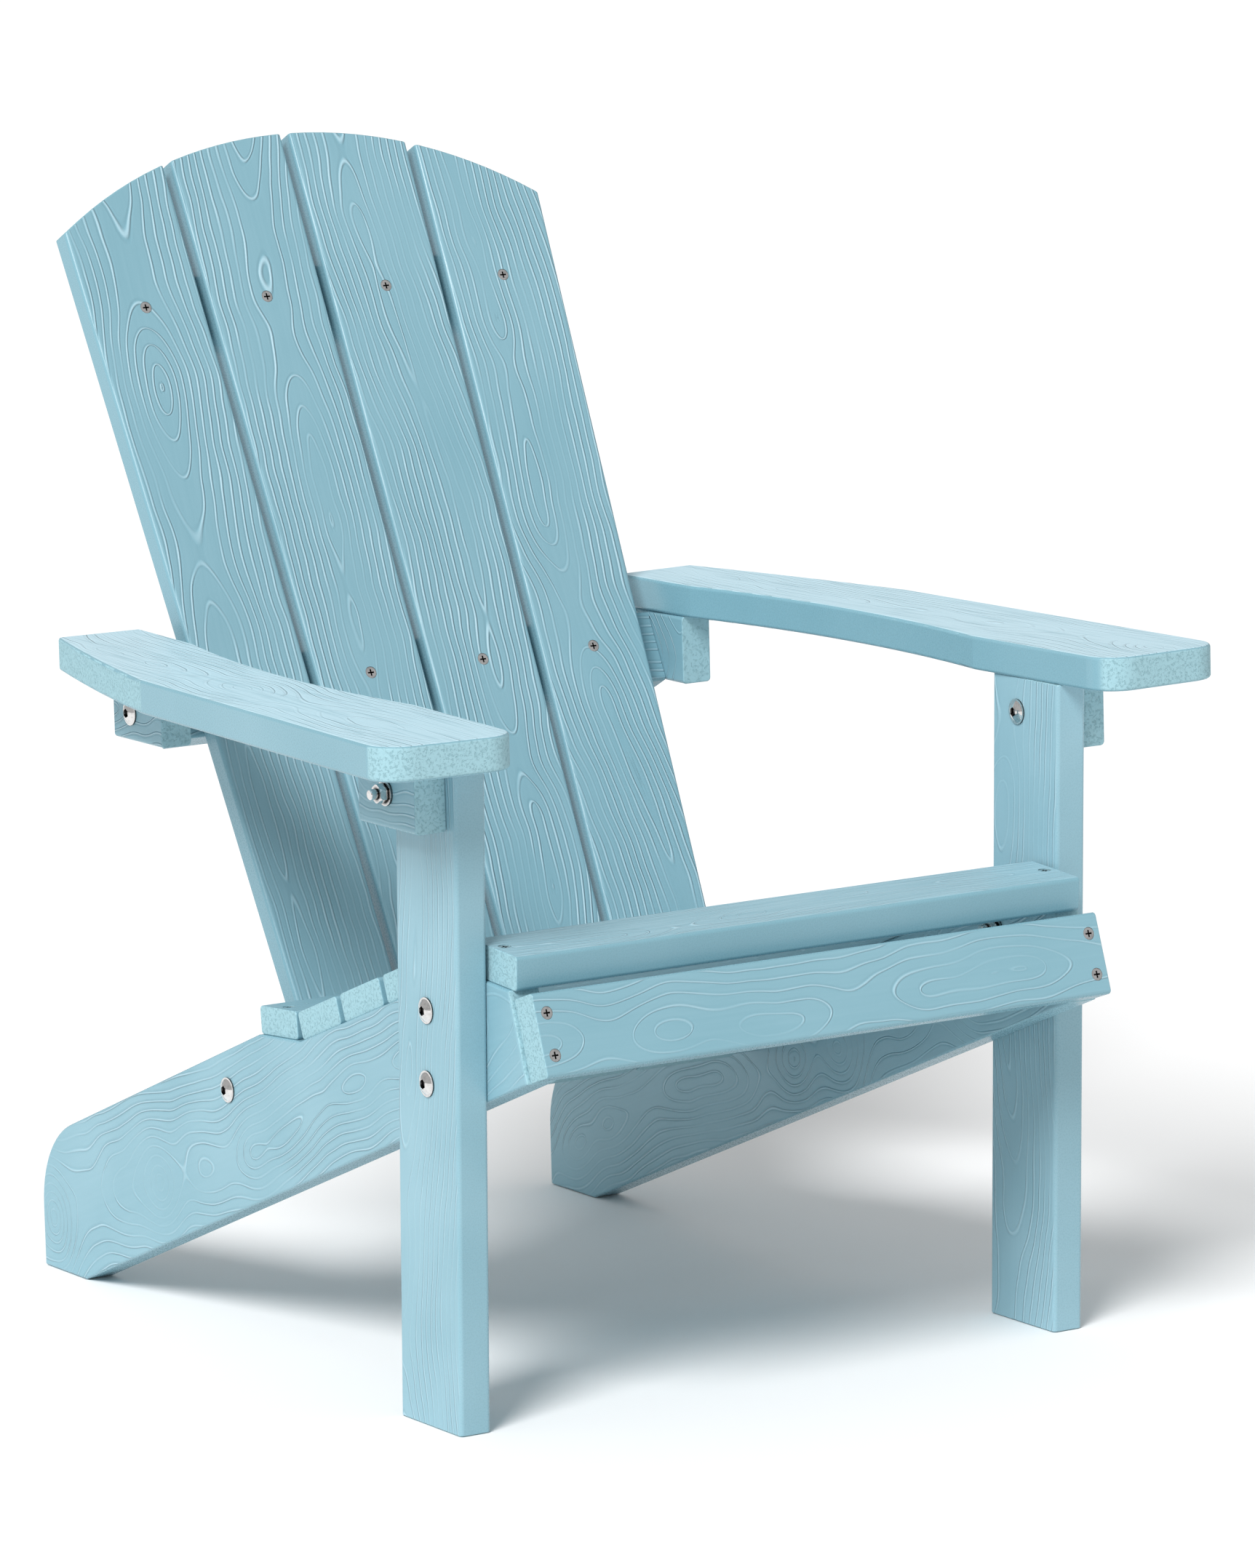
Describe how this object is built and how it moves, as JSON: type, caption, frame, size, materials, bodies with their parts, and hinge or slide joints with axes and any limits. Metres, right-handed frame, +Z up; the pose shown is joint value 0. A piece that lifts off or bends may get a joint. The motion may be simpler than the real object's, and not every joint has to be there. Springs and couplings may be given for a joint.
{
  "type": "adirondack chair",
  "caption": "Small adirondack chair of moulded plastic boards with wood grain, fanned back slats, curved seat, paddle arms and sloping rear legs.",
  "frame": {"origin": "on the ground, at the middle of the chair's outline in plan", "axes": "+Z up; the chair faces -Y; +X is the right side as seen from the front"},
  "size_m": [0.5614, 0.6078, 0.6843],
  "materials": {
    "board_plastic": "satin, moulded with a wood grain",
    "fastener_steel": "polished"
  },
  "bodies": {
    "root": {"apron_screws": "fastener_steel", "arm_block_bolts": "fastener_steel", "arm_block_nuts": "fastener_steel", "arm_block_washers": "fastener_steel", "arm_screws": "fastener_steel", "back_screws": "fastener_steel", "front_apron": "board_plastic", "front_seat_slat": "board_plastic", "left_arm": "board_plastic", "left_front_arm_block": "board_plastic", "left_front_leg": "board_plastic", "left_inner_back_slat": "board_plastic", "left_outer_back_slat": "board_plastic", "left_rear_arm_block": "board_plastic", "left_stringer": "board_plastic", "leg_bolts": "fastener_steel", "leg_nuts": "fastener_steel", "leg_washers": "fastener_steel", "lower_back_rail": "board_plastic", "middle_back_rail": "board_plastic", "rail_barrel_nuts": "fastener_steel", "rail_bolts": "fastener_steel", "rear_seat_slat": "board_plastic", "right_arm": "board_plastic", "right_front_arm_block": "board_plastic", "right_front_leg": "board_plastic", "right_inner_back_slat": "board_plastic", "right_outer_back_slat": "board_plastic", "right_rear_arm_block": "board_plastic", "right_stringer": "board_plastic", "seat_screws": "fastener_steel", "seat_slat_2": "board_plastic", "seat_slat_3": "board_plastic", "seat_slat_4": "board_plastic", "seat_slat_5": "board_plastic", "upper_back_rail": "board_plastic"}
  },
  "joints": []
}
